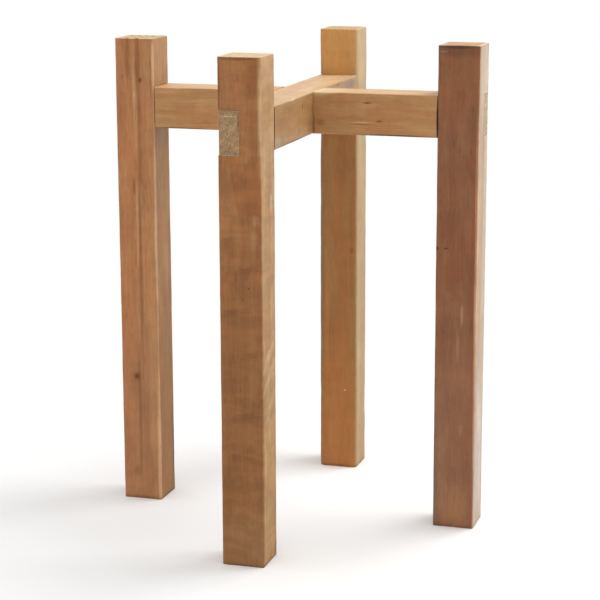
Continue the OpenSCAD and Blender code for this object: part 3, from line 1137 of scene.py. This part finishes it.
class TimberBlank:
    """The Geometry Nodes tree of a squared stick, with arrises that wear by a rule.

    It bends a plain round bar into a squared stick, ring by ring. Each quarter of a ring becomes
    one rounded arris and one face. The arris's radius follows a seeded noise along the stick, and
    the rings next to the ends draw in to ease the edges. Four numbers together are a step's.
    """

    ARC_STEPS = 5
    FACE_STEPS = 5
    EASE_STEPS = 3
    CORNERS = 4
    QUARTER_STEPS = ARC_STEPS + FACE_STEPS
    AROUND = CORNERS * QUARTER_STEPS
    RING_EVERY = 2 * MM

    WEAR = 0.6
    WAVES = Pattern((1.0, 1.0, 26.0))
    WAVES_GROW = (0.35, 0.75, -0.25, 0.8)
    DENTS = Pattern((1.0, 1.0, 95.0), detail=1.0)
    DENTS_GROW = (0.68, 0.80, 0.0, 0.9)
    DENTS_ASIDE = 5.0
    NEXT_ARRIS = 3.7
    DIPS = Pattern(scale=28.0, detail=1.0)
    DIP_DEPTH = 0.12 * MM

    def __init__(self) -> None:
        """Builds the tree once."""
        self.tree = bpy.data.node_groups.new("squared_stick", "GeometryNodeTree")
        source, sink = declare(self.tree, {
            "Geometry": "Geometry", "Float": "Width, Length, Arris Radius, Wear, Dip, Ease, Seed",
            "Int": "Rings", "Material": "Finish",
        }, {"Geometry": "Geometry"})
        self.desk = desk = NodeDesk(self.tree)
        self.given = given = source.outputs
        bar = desk.add("GeometryNodeMeshCylinder", {
            "Vertices": self.AROUND, "Side Segments": given["Rings"], "Radius": 1.0,
            "Depth": given["Length"],
        }, fill_type="NGON")
        x, y, z = desk.split(desk.add("GeometryNodeInputPosition").outputs[0])
        corner, arc, along_face = self._round_the_ring(x, y)
        height, half_width = self._up_the_stick(z)

        next_corner = desk.math("FLOORED_MODULO", desk.plus(corner, 1.0), float(self.CORNERS))
        here, after = (self._arris_radius(which, height) for which in (corner, next_corner))
        inner = desk.minus(half_width, here)
        face = desk.plus(inner, desk.minus(half_width, after))
        out_x = desk.plus(inner, desk.times(here, desk.math("COSINE", arc)))
        out_x = desk.minus(out_x, desk.times(face, along_face))
        out_y = desk.plus(inner, desk.times(here, desk.math("SINE", arc)))
        turned = desk.add("ShaderNodeVectorRotate", {
            "Vector": desk.join(out_x, out_y), "Angle": desk.times(corner, QUARTER_TURN),
        }, rotation_type="Z_AXIS").outputs[0]

        # Planed faces are never dead flat
        up = desk.join(z=height)
        dips = desk.noise(desk.vector("ADD", turned, up), self.DIPS, given["Seed"])
        dipped = desk.rest_of(desk.over(desk.times(dips, given["Dip"]), half_width))
        place = desk.vector("ADD", desk.scaled(turned, dipped), up)
        moved = desk.add("GeometryNodeSetPosition", {"Geometry": bar.outputs["Mesh"], "Position": place})
        desk.hand_over(sink, moved.outputs[0], given["Finish"])

    def _round_the_ring(self, x: Socket, y: Socket) -> tuple[Socket, Socket, Socket]:
        """Finds where a point of the round bar goes in the ring of a squared stick.

        Args:
            x: The point's x.
            y: The point's y.

        Returns:
            The number of its corner, its turn round the arris, and its share of the way along the
            face that follows.
        """
        desk = self.desk
        angle = desk.math("ARCTAN2", y, x)
        step = desk.math("ROUND", desk.over(angle, math.tau / self.AROUND))
        step = desk.math("FLOORED_MODULO", step, float(self.AROUND))
        corner = desk.math("FLOOR", desk.over(desk.plus(step, 0.5), float(self.QUARTER_STEPS)))
        within = desk.minus(step, desk.times(corner, float(self.QUARTER_STEPS)))
        arc = desk.times(desk.math("MINIMUM", within, float(self.ARC_STEPS)), QUARTER_TURN / self.ARC_STEPS)
        past_arc = desk.math("MAXIMUM", desk.minus(within, float(self.ARC_STEPS)), 0.0)
        return corner, arc, desk.over(past_arc, float(self.FACE_STEPS))

    def _up_the_stick(self, z: Socket) -> tuple[Socket, Socket]:
        """Finds the height and the half-width of a ring. Rings near the ends close up and draw in.

        Args:
            z: The ring's height in the plain bar.

        Returns:
            The height and the half-width.
        """
        desk, given = self.desk, self.given
        half = desk.times(given["Length"], 0.5)
        from_end = desk.minus(half, desk.math("ABSOLUTE", z))
        ring = desk.math("ROUND", desk.over(from_end, desk.over(given["Length"], given["Rings"])))
        turn = desk.times(desk.math("MINIMUM", ring, float(self.EASE_STEPS)), QUARTER_TURN / self.EASE_STEPS)
        past = desk.math("MAXIMUM", desk.minus(ring, float(self.EASE_STEPS)), 0.0)
        spacing = desk.over(desk.minus(half, given["Ease"]),
                            desk.minus(desk.times(given["Rings"], 0.5), float(self.EASE_STEPS)))
        rise = desk.times(given["Ease"], desk.rest_of(desk.math("COSINE", turn)))
        rise = desk.plus(rise, desk.times(past, spacing))
        draw_in = desk.times(given["Ease"], desk.rest_of(desk.math("SINE", turn)))
        height = desk.times(desk.math("SIGN", z), desk.minus(half, rise))
        return height, desk.minus(desk.times(given["Width"], 0.5), draw_in)

    def _arris_radius(self, corner: Socket, height: Socket) -> Socket:
        """Finds an arris's radius at one height: worn in long waves, with a few short dents.

        Args:
            corner: The arris's number.
            height: The height.

        Returns:
            The radius.
        """
        desk, given = self.desk, self.given
        number = desk.plus(given["Seed"], desk.times(corner, self.NEXT_ARRIS))
        waves = desk.noise(desk.join(z=height), self.WAVES, number)
        dents = desk.noise(desk.join(self.DENTS_ASIDE, 0.0, height), self.DENTS, number)
        grown = desk.plus(desk.step(waves, *self.WAVES_GROW), desk.step(dents, *self.DENTS_GROW))
        return desk.times(given["Arris Radius"], desk.plus(desk.times(grown, given["Wear"]), 1.0))

    def make(self, name: str, width: float, length: float, arris: float, ease: float, seed: float,
             finish: bpy.types.Material) -> bpy.types.Mesh:
        """Makes one stick on the Z axis, centred.

        Args:
            name: The piece's name.
            width: The stick's width.
            length: The stick's length.
            arris: The radius of its arrises.
            ease: How far the edges of its ends are eased.
            seed: Picks how its arrises are worn.
            finish: Its material.

        Returns:
            The stick's mesh.
        """
        # An even number, so that both halves of the stick are alike
        rings = 2 * round(length / self.RING_EVERY / 2)
        return run_tree(name, bpy.data.meshes.new(name), self.tree, {
            "Width": width, "Length": length, "Rings": rings, "Arris Radius": arris,
            "Wear": self.WEAR, "Dip": self.DIP_DEPTH, "Ease": ease, "Seed": seed, "Finish": finish,
        })


class Cutter:
    """Shapes that are cut out of a stick."""

    BORE_SIDES = 32

    @staticmethod
    def block(low: Point, high: Point) -> bpy.types.Mesh:
        """Makes a block between two corners.

        Args:
            low: The lowest corner.
            high: The highest corner.

        Returns:
            The block's mesh.
        """
        shape = bmesh.new()
        bmesh.ops.create_cube(shape, size=1.0)
        low_corner, high_corner = Vector(low), Vector(high)
        size = Matrix.Diagonal((*(high_corner - low_corner), 1.0))
        shape.transform(Matrix.Translation((low_corner + high_corner) / 2) @ size)
        return stored(shape, "block")

    @staticmethod
    def bore(profile: list[tuple[float, float]], place: Matrix) -> bpy.types.Mesh:
        """Turns a profile about an axis.

        Args:
            profile: Radius and height of each point, from the top down. The ends are on the axis.
            place: Where the axis goes.

        Returns:
            The turned mesh.
        """
        sides = Cutter.BORE_SIDES
        shape = lathe([([radius] * (sides if radius else 1), height) for radius, height in profile])
        shape.transform(place)
        return stored(shape, "bore")


class Bench:
    """Cuts sticks, eases their new edges and puts the finished pieces on the stand."""

    EDGE_EASE = 0.35 * MM
    EDGE_STEPS = 2
    EDGE_ANGLE = math.radians(50)
    SAME_POINT = 1e-7
    GAP_SIDES = 8

    @staticmethod
    def cut(name: str, stick: bpy.types.Mesh, cutters: list[bpy.types.Mesh]) -> bpy.types.Mesh:
        """Cuts shapes out of a stick and eases the edges that the cuts leave.

        Args:
            name: The piece's name.
            stick: The uncut stick.
            cutters: What is cut away.

        Returns:
            The cut mesh.
        """
        work = set_out(name + "_work", stick)
        tools = [set_out(f"{name}_tool_{number}", shape) for number, shape in enumerate(cutters)]
        for number, tool in enumerate(tools):
            saw = work.modifiers.new(f"saw_{number}", "BOOLEAN")
            saw.operation = "DIFFERENCE"
            saw.solver = "EXACT"
            saw.object = tool
        plane = work.modifiers.new("ease", "BEVEL")
        plane.width = Bench.EDGE_EASE
        plane.segments = Bench.EDGE_STEPS
        plane.limit_method = "ANGLE"
        plane.angle_limit = Bench.EDGE_ANGLE
        made = settled(work)
        for tool in tools:
            bpy.data.objects.remove(tool)
        return made

    @staticmethod
    def polish(name: str, mesh: bpy.types.Mesh, finish: bpy.types.Material) -> bpy.types.Mesh:
        """Closes a cut mesh, gives every face the one finish and keeps flat faces flat in the light.

        Args:
            name: The piece's name.
            mesh: The mesh, in its place.
            finish: The material of all its faces.

        Returns:
            The polished mesh.
        """
        shape = bmesh.new()
        shape.from_mesh(mesh)
        bmesh.ops.remove_doubles(shape, verts=shape.verts, dist=Bench.SAME_POINT)
        gaps = [edge for edge in shape.edges if edge.is_boundary]
        bmesh.ops.holes_fill(shape, edges=gaps, sides=Bench.GAP_SIDES)
        for face in shape.faces:
            face.material_index = 0
        closed = stored(shape, name)
        closed.materials.append(finish)
        closed.shade_smooth()
        closed.set_sharp_from_angle(angle=Bench.EDGE_ANGLE)
        work = set_out(name + "_work", closed)
        work.modifiers.new("flat_faces", "WEIGHTED_NORMAL").keep_sharp = True
        return settled(work)

    @staticmethod
    def fit(name: str, mesh: bpy.types.Mesh, finish: bpy.types.Material, node: str,
            slot: str) -> bpy.types.Object:
        """Puts a cut mesh on the stand in place of its plain solid.

        Args:
            name: The piece's name.
            mesh: Its mesh, in its place.
            finish: Its material.
            node: The solid that it stands for.
            slot: The name of a material slot; not used.

        Returns:
            The piece.
        """
        mesh = Bench.polish(name, mesh, finish)
        mesh.name = name
        piece = set_out(name, mesh)
        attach(piece, BODY)
        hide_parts(node)
        return piece


@dataclass(frozen=True)
class ScrewPlaces:
    """Where the screws of a lap go, in a leg's own frame or at the crossing."""

    sizes: StandSizes
    fit: LapFit
    screw: ScrewSizes

    def in_leg(self) -> list[Matrix]:
        """Places of a leg's two screws, driven from its open side, for a leg on the Z axis.

        Returns:
            The two places, with the screw's point along -Z.
        """
        depth = self.sizes.half - self.fit.tongue_setback - self.screw.head_sink
        return [
            Matrix.Translation((aside, depth, self.sizes.lap_height + aside))
            @ Matrix.Rotation(-QUARTER_TURN, 4, "X")
            for aside in (-self.screw.spread, self.screw.spread)
        ]

    def at_crossing(self) -> Matrix:
        """The place of the crossing's screw, driven from below."""
        low = Matrix.Translation((0, 0, self.sizes.rail_low + self.screw.head_sink))
        return low @ Matrix.Rotation(HALF_TURN, 4, "X")

    def bite(self, place: Matrix) -> bpy.types.Mesh:
        """The space that a screw takes in the timber that it bites into."""
        return self._space(place, 0.0, 0.0)

    def clearance(self, place: Matrix) -> bpy.types.Mesh:
        """The wider hole in the timber that a screw passes through, with the way in for its head."""
        return self._space(place, self.screw.shank_gap, self.screw.head_sink + self.fit.over)

    def _space(self, place: Matrix, gap: float, opened: float) -> bpy.types.Mesh:
        """Makes the space that a screw takes in the timber.

        Args:
            place: The screw's place.
            gap: The gap round its shank.
            opened: How far its head's hole goes on upwards.

        Returns:
            The space, as a cutter.
        """
        screw = self.screw
        shank = screw.shank_radius + gap
        rim = [(screw.head_radius, opened)] if opened else []
        return Cutter.bore([
            (0.0, opened), *rim, (screw.head_radius, 0.0), (shank, shank - screw.head_radius),
            (shank, screw.point - screw.length), (0.0, -screw.length),
        ], place)


@dataclass
class Stick:
    """What a leg and a rail share: a squared stick, shaped on the bench and set on the stand."""

    name: str
    node: str
    finish: TimberFinish
    turn: float
    sizes: StandSizes
    fit: LapFit
    screws: ScrewPlaces
    arris: float = 1.6 * MM

    def shape(self, blank: TimberBlank, length: float, ease: float, lie: Matrix,
              cutters: list[bpy.types.Mesh], place: Matrix, material: bpy.types.Material) -> bpy.types.Object:
        """Takes a blank through the bench and onto the stand.

        Args:
            blank: Makes the uncut stick.
            length: Its length.
            ease: How far the edges of its ends are eased.
            lie: How the blank lies while it is cut.
            cutters: What is cut out of it there.
            place: Where the cut stick goes.
            material: Its material.

        Returns:
            The piece.
        """
        stick = blank.make(self.name, self.sizes.timber, length, self.arris, ease, self.finish.seed, material)
        stick.transform(lie)
        mesh = Bench.cut(self.name, stick, cutters)
        mesh.transform(place)
        return Bench.fit(self.name, mesh, material, self.node, self.finish.slot)


@dataclass
class Leg(Stick):
    """A leg: a squared stick with a notch for a rail's tongue, open to one side."""

    side: int = 1
    end_ease: float = 0.8 * MM

    def place(self) -> Matrix:
        """Where the leg goes: out along its rail, and turned with it."""
        out = Matrix.Translation((self.side * self.sizes.leg_reach, 0, 0))
        return Matrix.Rotation(self.turn, 4, "Z") @ out

    def cutters(self) -> list[bpy.types.Mesh]:
        """What is cut out of the leg, in its own frame.

        Returns:
            The notch and the screws' holes.
        """
        reach = self.sizes.half + self.fit.over
        notch = Cutter.block((-reach, 0, self.sizes.rail_low), (reach, reach, self.sizes.rail_high))
        return [notch, *map(self.screws.bite, self.screws.in_leg())]

    def build(self, blank: TimberBlank, shader: HardwoodShader) -> bpy.types.Object:
        """Makes the leg.

        Args:
            blank: Makes its stick.
            shader: Makes its material.

        Returns:
            The leg.
        """
        height = self.sizes.leg_height
        place = self.place()
        lie = Matrix.Translation((0, 0, height / 2))
        middle = (place @ lie).translation
        material = shader.dress(self.finish, Grain.UP, middle, place.translation, self.sizes.half)
        return self.shape(blank, height, self.end_ease, lie, self.cutters(), place, material)


@dataclass
class Rail(Stick):
    """A rail: a squared stick with a tongue at each end, halved over the other rail."""

    is_upper: bool = False
    end_ease: float = 0.3 * MM

    def tongue_cutters(self) -> list[bpy.types.Mesh]:
        """What is cut from both ends of the rail: its front half and shavings off the tongue.

        Returns:
            The cutters, in the frame of a rail along X.
        """
        sizes, fit = self.sizes, self.fit
        shoulder = sizes.leg_reach - sizes.half - fit.shoulder_gap
        past_end = sizes.tongue_end + fit.over
        reach = sizes.half + fit.over
        bottom, top = sizes.rail_low - fit.over, sizes.rail_high + fit.over
        shapes = []
        for low_x, high_x in ((shoulder, past_end), (-past_end, -shoulder)):
            shapes += [
                Cutter.block((low_x, -reach, bottom), (high_x, 0, top)),
                Cutter.block((low_x, sizes.half - fit.tongue_setback, bottom), (high_x, reach, top)),
                Cutter.block((low_x, -fit.over, sizes.rail_high - fit.tongue_gap), (high_x, reach, top)),
            ]
        return shapes

    def crossing_cutter(self) -> bpy.types.Mesh:
        """The notch for the other rail: in the underside of the upper rail, or in the lower's top.

        Returns:
            The cutter, in the frame of a rail along X.
        """
        sizes, fit = self.sizes, self.fit
        across = sizes.half + fit.crossing_gap
        reach = sizes.half + fit.over
        bottom, top = sizes.lap_height, sizes.rail_high + fit.over
        if self.is_upper:
            bottom, top = sizes.rail_low - fit.over, sizes.lap_height
        return Cutter.block((-across, -reach, bottom), (across, reach, top))

    def screw_cutters(self) -> list[bpy.types.Mesh]:
        """The holes of the screws that pass through the rail's tongues and its crossing.

        Returns:
            The cutters, in the frame of a rail along X.
        """
        reach = self.sizes.leg_reach
        shapes = [self.screws.clearance(Matrix.Translation((to_leg, 0, 0)) @ place)
                  for to_leg in (-reach, reach) for place in self.screws.in_leg()]
        hole = self.screws.bite if self.is_upper else self.screws.clearance
        return [*shapes, hole(self.screws.at_crossing())]

    def build(self, blank: TimberBlank, shader: HardwoodShader) -> bpy.types.Object:
        """Makes the rail.

        Args:
            blank: Makes its stick.
            shader: Makes its material.

        Returns:
            The rail.
        """
        grain = Grain.ALONG_Y if self.is_upper else Grain.ALONG_X
        middle = Vector((0, 0, self.sizes.lap_height))
        material = shader.dress(self.finish, grain, middle, Vector(), self.sizes.half)
        lie = Matrix.Translation(middle) @ Matrix.Rotation(QUARTER_TURN, 4, "Y")
        cutters = [*self.tongue_cutters(), self.crossing_cutter(), *self.screw_cutters()]
        place = Matrix.Rotation(self.turn, 4, "Z")
        return self.shape(blank, 2 * self.sizes.tongue_end, self.end_ease, lie, cutters, place, material)


# ---------------------------------------------------------------------------------------------
# Screws
# ---------------------------------------------------------------------------------------------

@dataclass
class ScrewSet:
    """The countersunk screws: one turned pattern, set at every place by Geometry Nodes."""

    SIDES = 24
    RINGS_PER_TURN = 8
    RIDGE_SHARE = 0.5
    DRIVER_SEED = 3

    sizes: ScrewSizes
    finish: ScrewFinish

    def material(self) -> bpy.types.Material:
        """Makes the plated steel.

        Returns:
            The material.
        """
        finish = self.finish
        material = bpy.data.materials.new("plated_steel")
        desk = NodeDesk.cleared(material)
        place = desk.add("ShaderNodeTexCoord").outputs["Object"]
        cloud = desk.noise(place, finish.cloud)
        brushed = desk.noise(place, finish.brushing)
        colour = desk.blend(desk.step(cloud, *finish.cloud.shows), finish.steel, finish.tarnish)
        rough = desk.plus(desk.times(cloud, finish.cloud_roughness), finish.roughness,
                          desk.times(brushed, finish.brushed_roughness))
        bump = desk.add("ShaderNodeBump", {
            "Height": brushed, "Strength": finish.relief, "Distance": finish.relief_depth,
        })
        desk.show("ShaderNodeOutputMaterial", desk.add("ShaderNodeBsdfPrincipled", {
            "Base Color": colour, "Roughness": rough, "Normal": bump.outputs[0], "Metallic": 1.0,
        }))
        return material

    def pattern(self) -> bpy.types.Mesh:
        """Makes one screw that points down, with the face of its head at 0.

        Returns:
            The screw's mesh.
        """
        size = self.sizes
        rings = [([radius] * self.SIDES, height) for radius, height in (
            (size.head_radius - size.head_edge, 0.0),
            (size.head_radius - size.head_ease, -size.head_ease),
            (size.head_radius, -size.head_edge),
            (size.shank_radius, size.shank_radius - size.head_radius),
            (size.shank_radius, -size.thread_start),
        )]
        rise = size.thread_pitch / self.RINGS_PER_TURN
        for step in range(1, int((size.length - size.thread_start) / rise)):
            height = -size.thread_start - step * rise
            rings.append((self._thread(height), height))
        shape = lathe([*rings, ([0.0], -size.length)])
        shape.faces.new(list(shape.verts)[:self.SIDES])
        return Bench.cut("screw_pattern", stored(shape, "screw_blank"), self._drive_cutters())

    def _thread(self, height: float) -> list[float]:
        """The thread's radii round the screw at one height: a sharp ridge that climbs once a pitch.

        Args:
            height: The height, below the head's face.

        Returns:
            The radii.
        """
        size = self.sizes
        narrowing = min(1.0, (size.length + height) / size.point)
        grown = min(1.0, (-height - size.thread_start) / size.thread_pitch)
        core = size.core_radius + (size.shank_radius - size.core_radius) * (1 - grown)
        radii = []
        for number in range(self.SIDES):
            phase = (height / size.thread_pitch + number / self.SIDES) % 1
            ridge = max(0.0, 1 - abs(phase - 0.5) * 2 / self.RIDGE_SHARE)
            radii.append((core + (size.crest_radius - core) * ridge) * narrowing)
        return radii

    def _drive_cutters(self) -> list[bpy.types.Mesh]:
        """The two slots of the cross-shaped drive recess.

        Returns:
            The two cutters.
        """
        size = self.sizes
        long, short = size.drive_span / 2, size.drive_width / 2
        return [Cutter.block((-a, -b, -size.drive_depth), (a, b, size.drive_depth))
                for a, b in ((long, short), (short, long))]

    @staticmethod
    def tree() -> bpy.types.NodeTree:
        """Builds the tree that sets a screw at each point, turned as the driver left it.

        Returns:
            The tree.
        """
        tree = bpy.data.node_groups.new("set_screws", "GeometryNodeTree")
        source, sink = declare(tree, {
            "Geometry": "Geometry", "Object": "Screw", "Material": "Finish", "Int": "Seed",
        }, {"Geometry": "Geometry"})
        desk = NodeDesk(tree)
        given = source.outputs
        pattern = desk.add("GeometryNodeObjectInfo", {"Object": given["Screw"]}).outputs["Geometry"]
        aim = desk.add("GeometryNodeInputNamedAttribute", {"Name": "aim"}, data_type="FLOAT_VECTOR")
        turn = desk.add("FunctionNodeRandomValue", {
            "Seed": given["Seed"], "Max": (0.0, 0.0, math.tau),
        }, data_type="FLOAT_VECTOR")
        pointed = desk.add("FunctionNodeAlignRotationToVector", {"Vector": aim.outputs[0]}, axis="Z")
        turned = desk.add("FunctionNodeRotateRotation", {
            "Rotation": pointed.outputs[0], "Rotate By": turn.outputs["Value"],
        }, rotation_space="LOCAL")
        placed = desk.add("GeometryNodeInstanceOnPoints", {
            "Points": given["Geometry"], "Instance": pattern, "Rotation": turned.outputs[0],
        })
        desk.hand_over(sink, placed.outputs[0], given["Finish"])
        return tree

    def build(self, groups: dict[str, tuple[str, list[Matrix]]]) -> list[bpy.types.Object]:
        """Sets all the screws.

        Args:
            groups: For each piece's name, the solid that it stands for and its screws' places.

        Returns:
            The pieces.
        """
        finish = self.material()
        tree = self.tree()
        pattern = set_out("screw_pattern", self.pattern())
        pieces = []
        for name, (node, places) in groups.items():
            points = bpy.data.meshes.new(name)
            points.from_pydata([place.translation for place in places], [], [])
            aim = points.attributes.new("aim", "FLOAT_VECTOR", "POINT")
            for item, place in zip(aim.data, places):
                item.vector = place.to_3x3() @ Vector((0, 0, 1))
            values = {"Screw": pattern, "Finish": finish, "Seed": self.DRIVER_SEED}
            mesh = run_tree(name, points, tree, values)
            pieces.append(Bench.fit(name, mesh, finish, node, self.finish.slot))
        bpy.data.objects.remove(pattern)
        return pieces


# ---------------------------------------------------------------------------------------------
# Studio
# ---------------------------------------------------------------------------------------------

@dataclass(frozen=True)
class Lamp:
    """A soft oblong lamp that looks at the stand."""

    name: str
    place: Point
    width: float
    height: float
    watts: float


@dataclass
class Studio:
    """A pale floor, soft lamps and the camera at the photograph's place.

    Away from the stand, beyond glow_from, the floor passes into plain white up to glow_full. The
    floor's own light and the world's white are only what the camera and reflections see.
    """

    camera_place: Point = (0.5657, -1.8705, 0.6508)
    camera_yaw: float = math.radians(16.81)
    camera_pitch: float = math.radians(12.343)
    camera_roll: float = math.radians(-0.166)
    lens: float = 116.27
    film_width: float = 36.0
    far_limit: float = 100.0
    floor_reach: float = 40.0
    floor_low: Colour = paint(236, 236, 235)
    floor_high: Colour = paint(242, 242, 241)
    floor_cloud: Pattern = Pattern(scale=9.0, detail=5.0)
    floor_lift: float = 0.1
    glow_from: float = 0.35
    glow_full: float = 0.8
    sky: float = 0.78
    lamps: tuple[Lamp, ...] = (
        Lamp("key_lamp", (0.55, 0.35, 1.7), 0.7, 0.7, 12.5),
        Lamp("rim_lamp", (0.55, 0.55, 0.20), 0.4, 0.9, 1.8),
        Lamp("fill_lamp", (-0.4, -2.2, 1.0), 1.6, 1.6, 8.0),
    )
    target: Point = (0.0, 0.0, 0.28)

    def build(self) -> None:
        """Makes the floor, the world, the lamps and the camera."""
        self._floor()
        self._world()
        for lamp in self.lamps:
            self._lamp(lamp)
        self._camera()
        bpy.context.scene.view_settings.view_transform = "Standard"

    @staticmethod
    def _seen(desk: NodeDesk) -> Socket:
        """A switch between what is seen and what lights the stand.

        Args:
            desk: The desk of the tree that the switch goes into.

        Returns:
            1 for camera, glossy and transmission rays, and 0 for all others.
        """
        path = desk.add("ShaderNodeLightPath").outputs
        either = desk.math("MAXIMUM", path["Is Camera Ray"], path["Is Glossy Ray"])
        return desk.math("MAXIMUM", either, path["Is Transmission Ray"])

    def _floor(self) -> None:
        """Lays a wide pale floor, which a camera below it sees through."""
        shape = bmesh.new()
        bmesh.ops.create_grid(shape, x_segments=1, y_segments=1, size=self.floor_reach)
        mesh = bpy.data.meshes.new("floor")
        shape.to_mesh(mesh)
        shape.free()
        floor = set_out("floor", mesh)
        material = bpy.data.materials.new("pale_floor")
        desk = NodeDesk.cleared(material)
        place = desk.add("ShaderNodeTexCoord").outputs["Object"]
        cloud = desk.noise(place, self.floor_cloud)
        lit = desk.add("ShaderNodeBsdfDiffuse", {
            "Color": desk.blend(cloud, self.floor_low, self.floor_high),
        })
        seen = self._seen(desk)
        lift = desk.add("ShaderNodeEmission", {"Color": WHITE, "Strength": desk.times(seen, self.floor_lift)})
        lifted = desk.add("ShaderNodeAddShader", {0: lit.outputs[0], 1: lift.outputs[0]})
        glow = desk.add("ShaderNodeEmission", {"Color": WHITE, "Strength": 1.0})
        far = desk.step(desk.length(place), self.glow_from, self.glow_full)
        mixed = desk.add("ShaderNodeMixShader", {
            0: desk.times(far, seen), 1: lifted.outputs[0], 2: glow.outputs[0],
        })
        under = desk.add("ShaderNodeNewGeometry").outputs["Backfacing"]
        from_under = desk.times(under, desk.add("ShaderNodeLightPath").outputs["Is Camera Ray"])
        clear = desk.add("ShaderNodeBsdfTransparent")
        desk.show("ShaderNodeOutputMaterial", desk.add("ShaderNodeMixShader", {
            0: from_under, 1: mixed.outputs[0], 2: clear.outputs[0],
        }))
        mesh.materials.append(material)

    def _world(self) -> None:
        """Surrounds the stand with even white light."""
        world = bpy.data.worlds.new("studio")
        bpy.context.scene.world = world
        desk = NodeDesk.cleared(world)
        strength = desk.plus(desk.times(self._seen(desk), 1.0 - self.sky), self.sky)
        desk.show("ShaderNodeOutputWorld", desk.add("ShaderNodeBackground", {
            "Color": WHITE, "Strength": strength,
        }))

    def _lamp(self, lamp: Lamp) -> None:
        """Hangs one lamp, aimed at the stand.

        Args:
            lamp: The lamp.
        """
        data = bpy.data.lights.new(lamp.name, "AREA")
        data.shape = "RECTANGLE"
        data.size = lamp.width
        data.size_y = lamp.height
        data.energy = lamp.watts
        light = set_out(lamp.name, data)
        light.location = lamp.place
        aim = Vector(self.target) - Vector(lamp.place)
        light.rotation_euler = aim.to_track_quat("-Z", "Y").to_euler()
        light.visible_camera = False

    def _camera(self) -> None:
        """Sets up the camera at the photograph's place and angle."""
        data = bpy.data.cameras.new("camera")
        data.sensor_width = self.film_width
        data.lens = self.lens
        data.clip_end = self.far_limit
        camera = set_out("camera", data)
        camera.matrix_world = (Matrix.Translation(self.camera_place)
                               @ Matrix.Rotation(self.camera_yaw, 4, "Z")
                               @ Matrix.Rotation(QUARTER_TURN - self.camera_pitch, 4, "X")
                               @ Matrix.Rotation(self.camera_roll, 4, "Z"))
        bpy.context.scene.camera = camera


def main() -> None:
    """Builds the stand and its studio, and logs each piece's count of faces."""
    logging.basicConfig(level=logging.INFO, format="%(name)s: %(message)s")
    sizes, fit, screw = StandSizes.measured(), LapFit(), ScrewSizes()
    screws = ScrewPlaces(sizes, fit, screw)
    shared = {"sizes": sizes, "fit": fit, "screws": screws}
    shader, blank = HardwoodShader(), TimberBlank()
    legs = [
        Leg("left_leg_timber", "leg_left", LEFT_LEG, 0.0, side=-1, **shared),
        Leg("right_leg_timber", "leg_right", RIGHT_LEG, 0.0, side=1, **shared),
        Leg("front_leg_timber", "leg_front", FRONT_LEG, QUARTER_TURN, side=-1, **shared),
        Leg("back_leg_timber", "leg_back", BACK_LEG, QUARTER_TURN, side=1, arris=4 * MM, **shared),
    ]
    rails = [
        Rail("lower_rail_timber", "lower_rail", LOWER_RAIL, 0.0, is_upper=False, **shared),
        Rail("upper_rail_timber", "upper_rail", UPPER_RAIL, QUARTER_TURN, is_upper=True, **shared),
    ]
    pieces = [stick.build(blank, shader) for stick in (*legs, *rails)]
    leg_places = [leg.place() @ place for leg in legs for place in screws.in_leg()]
    pieces += ScrewSet(screw, ScrewFinish()).build({
        "lap_screws": ("leg_screws", leg_places),
        "middle_screw": ("crossing_screw", [screws.at_crossing()]),
    })
    for piece in pieces:
        log.info("%s: %d faces", piece.name, len(piece.data.polygons))
    Studio().build()


if __name__ == "__main__":
    main()
